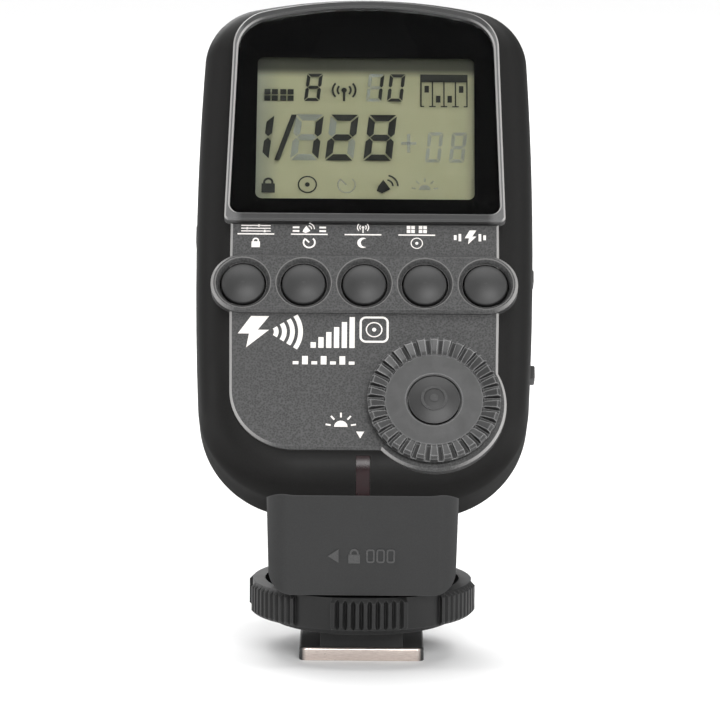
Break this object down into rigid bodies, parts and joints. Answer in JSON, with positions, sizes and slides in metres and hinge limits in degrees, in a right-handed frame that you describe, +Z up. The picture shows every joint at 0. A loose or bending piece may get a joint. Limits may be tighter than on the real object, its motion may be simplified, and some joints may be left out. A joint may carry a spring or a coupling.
{
  "type": "wireless flash trigger",
  "caption": "Hand-sized radio flash trigger with a leaning body, display, push buttons, thumb dial, battery door and a hot-shoe foot with a lock ring.",
  "frame": {"origin": "centre of the hot-shoe plate's underside", "axes": "+Z up out of the shoe, -Y towards the person who reads the display, +X to that person's right"},
  "size_m": [0.0515, 0.0616, 0.0964],
  "materials": {
    "case": "dark satin moulded plastic",
    "panel": "finely textured moulded plastic with bright chamfers",
    "window": "clear glossy acrylic",
    "mask": "black printed film",
    "lcd": "liquid-crystal glass with printed segments",
    "light_guide": "milky acrylic",
    "inner_plastic": "plain moulded plastic",
    "dial": "satin moulded plastic, worn on the ribs",
    "steel": "plain steel",
    "cap": "satin rubbery plastic",
    "red_lens": "dark red acrylic",
    "lamp": "clear epoxy lamp",
    "board": "green solder mask",
    "switch_body": "switch body",
    "rubber_strip": "matt rubber",
    "cell_wrap": "printed cell wrap",
    "spring_metal": "nickel-plated spring steel",
    "screw_steel": "zinc-plated steel",
    "foot_plastic": "smooth matt plastic",
    "foot_metal": "bright sawn front edge, black top",
    "contact_metal": "gold-plated brass",
    "ring_plastic": "satin moulded plastic"
  },
  "bodies": {
    "root": {"front_shell": "case", "rear_shell": "case", "face_plate": "panel", "display_hood": "panel", "display_window": "window", "window_mask": "mask", "lcd_panel": "lcd", "backlight": "light_guide", "display_holder": "inner_plastic", "button_bar": "panel", "encoder": "inner_plastic", "status_lens": "red_lens", "status_led": "lamp", "main_board": "board", "key_switches": "switch_body", "slide_switches": "switch_body", "radio_module": "board", "buzzer": "inner_plastic", "side_board": "board", "usb_socket": "steel", "sync_jack": "inner_plastic", "port_cover_pin": "steel", "door_pin": "steel", "battery_cells": "cell_wrap", "battery_contacts": "spring_metal", "case_screws": "screw_steel", "board_screws": "screw_steel", "foot_housing": "foot_plastic", "beam_window": "red_lens", "beam_lamp": "lamp", "foot_neck": "foot_plastic", "thread_collar": "foot_plastic", "foot_plate": "foot_metal", "contact_insert": "inner_plastic", "foot_screws": "screw_steel", "housing_screws": "screw_steel"},
    "mode_button": {"mode_button": "cap"},
    "buzzer_button": {"buzzer_button": "cap"},
    "channel_button": {"channel_button": "cap"},
    "group_button": {"group_button": "cap"},
    "test_button": {"test_button": "cap"},
    "set_button": {"set_button": "cap"},
    "dial": {"dial": "dial", "dial_clip": "steel"},
    "power_knob": {"power_knob": "cap"},
    "beam_knob": {"beam_knob": "cap"},
    "port_cover": {"port_cover": "rubber_strip"},
    "battery_door": {"battery_door": "case"},
    "clamp_plate": {"clamp_plate": "foot_plastic"},
    "lock_ring": {"lock_ring": "ring_plastic"},
    "lock_pin": {"lock_pin": "screw_steel"},
    "contact_pins": {"contact_pins": "contact_metal"}
  },
  "joints": [
    {"name": "mode_button_press", "type": "slide", "parent": "root", "child": "mode_button", "axis": [0, 0.8434, -0.5373], "range_m": [0, 0.0005], "stiffness_N_per_m": 1200, "springref_m": -0.0004},
    {"name": "buzzer_button_press", "type": "slide", "parent": "root", "child": "buzzer_button", "axis": [0, 0.8434, -0.5373], "range_m": [0, 0.0005], "stiffness_N_per_m": 1200, "springref_m": -0.0004},
    {"name": "channel_button_press", "type": "slide", "parent": "root", "child": "channel_button", "axis": [0, 0.8434, -0.5373], "range_m": [0, 0.0005], "stiffness_N_per_m": 1200, "springref_m": -0.0004},
    {"name": "group_button_press", "type": "slide", "parent": "root", "child": "group_button", "axis": [0, 0.8434, -0.5373], "range_m": [0, 0.0005], "stiffness_N_per_m": 1200, "springref_m": -0.0004},
    {"name": "test_button_press", "type": "slide", "parent": "root", "child": "test_button", "axis": [0, 0.8434, -0.5373], "range_m": [0, 0.0005], "stiffness_N_per_m": 1200, "springref_m": -0.0004},
    {"name": "set_button_press", "type": "slide", "parent": "root", "child": "set_button", "axis": [0, 0.8434, -0.5373], "range_m": [0, 0.0004], "stiffness_N_per_m": 1400, "springref_m": -0.0004},
    {"name": "dial_turn", "type": "hinge", "parent": "root", "child": "dial", "pos_m": [0.01037, -0.01255, 0.0395], "axis": [0, -0.8434, 0.5373], "continuous": true},
    {"name": "power_slide", "type": "slide", "parent": "root", "child": "power_knob", "axis": [0, -0.5373, -0.8434], "range_m": [0, 0.003]},
    {"name": "beam_slide", "type": "slide", "parent": "root", "child": "beam_knob", "axis": [0, 0.5373, 0.8434], "range_m": [0, 0.003]},
    {"name": "port_cover_open", "type": "hinge", "parent": "root", "child": "port_cover", "pos_m": [-0.024, 0.00151, 0.037], "axis": [0, -0.8434, 0.5373], "range_deg": [0, 100]},
    {"name": "battery_door_open", "type": "hinge", "parent": "root", "child": "battery_door", "pos_m": [0, 0.039, 0.07845], "axis": [1, 0, 0], "range_deg": [0, 100]},
    {"name": "clamp_slide", "type": "slide", "parent": "root", "child": "clamp_plate", "axis": [0, 0, -1], "range_m": [0, 0.001]},
    {"name": "lock_ring_turn", "type": "hinge", "parent": "clamp_plate", "child": "lock_ring", "pos_m": [0, 0, 0.0085], "axis": [0, 0, -1], "range_deg": [0, 240]},
    {"name": "lock_pin_drop", "type": "slide", "parent": "root", "child": "lock_pin", "axis": [0, 0, -1], "range_m": [0, 0.0012]},
    {"name": "contacts_press", "type": "slide", "parent": "root", "child": "contact_pins", "axis": [0, 0, 1], "range_m": [-0.0004, 0.0002], "stiffness_N_per_m": 400}
  ],
  "couplings": [
    {"joint": "lock_ring_turn", "follows": "clamp_slide", "rad_per_m": 4188.7},
    {"joint": "lock_pin_drop", "follows": "clamp_slide", "ratio": 1.2}
  ]
}
